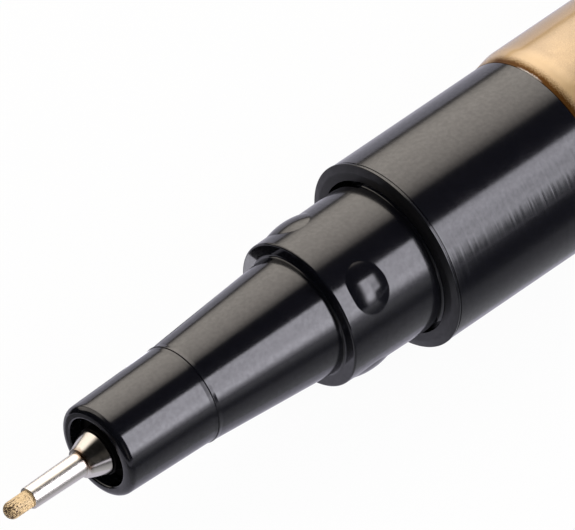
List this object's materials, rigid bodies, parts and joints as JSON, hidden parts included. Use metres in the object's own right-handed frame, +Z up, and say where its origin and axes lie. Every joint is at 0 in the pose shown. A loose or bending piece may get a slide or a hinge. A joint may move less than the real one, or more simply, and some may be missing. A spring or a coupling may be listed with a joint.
{
  "type": "paint marker",
  "caption": "Valve-type paint marker: a fine metal-jacketed nib pumps into a stepped black nose on a gold aluminium barrel, with its cap posted on the tail.",
  "frame": {"origin": "under the middle of the marker's length, on the surface that it lies on", "axes": "+X from the writing tip to the tail, +Z up"},
  "size_m": [0.1602, 0.012, 0.012],
  "materials": {
    "nib_fibre": "bonded fibre soaked with gold paint",
    "nickel": "bright nickel plate",
    "slider_plastic": "matt moulded",
    "black_plastic": "satin gloss moulded",
    "gold_lacquer": "metallic gold lacquer",
    "gold_plastic": "gold tinted moulding",
    "felt": "pressed felt",
    "valve_plastic": "natural moulded",
    "seal_rubber": "moulded rubber",
    "steel": "polished steel"
  },
  "bodies": {
    "barrel": {"barrel": "gold_lacquer", "collar": "black_plastic", "barrel_gasket": "seal_rubber", "nose_section": "black_plastic", "nose_tip": "black_plastic", "felt_sleeve": "felt", "valve_body": "valve_plastic", "valve_seal": "seal_rubber", "valve_spring": "steel", "spring_cup": "valve_plastic", "tail_plug": "black_plastic", "tail_seal": "seal_rubber"},
    "tip": {"metal_tip": "nickel", "nib": "nib_fibre", "nib_holder": "slider_plastic"},
    "valve": {"valve_stem": "valve_plastic"},
    "ball": {"mixing_ball": "steel"},
    "cap": {"cap_shell": "black_plastic", "cap_clip": "black_plastic", "cap_inner_seal": "valve_plastic", "cap_top_disc": "gold_plastic"}
  },
  "joints": [
    {"name": "tip_pump", "type": "slide", "parent": "barrel", "child": "tip", "axis": [1, 0, 0], "range_m": [0, 0.0015], "stiffness_N_per_m": 300, "springref_m": -0.002},
    {"name": "valve_open", "type": "slide", "parent": "barrel", "child": "valve", "axis": [1, 0, 0], "range_m": [0, 0.0015], "deforming": ["valve_spring"]},
    {"name": "ball_run", "type": "slide", "parent": "barrel", "child": "ball", "axis": [1, 0, 0], "range_m": [-0.0169, 0.0449]},
    {"name": "cap_pull", "type": "slide", "parent": "barrel", "child": "cap", "axis": [1, 0, 0], "range_m": [0, 0.012]}
  ],
  "couplings": [
    {"joint": "valve_open", "follows": "tip_pump", "ratio": 1}
  ]
}
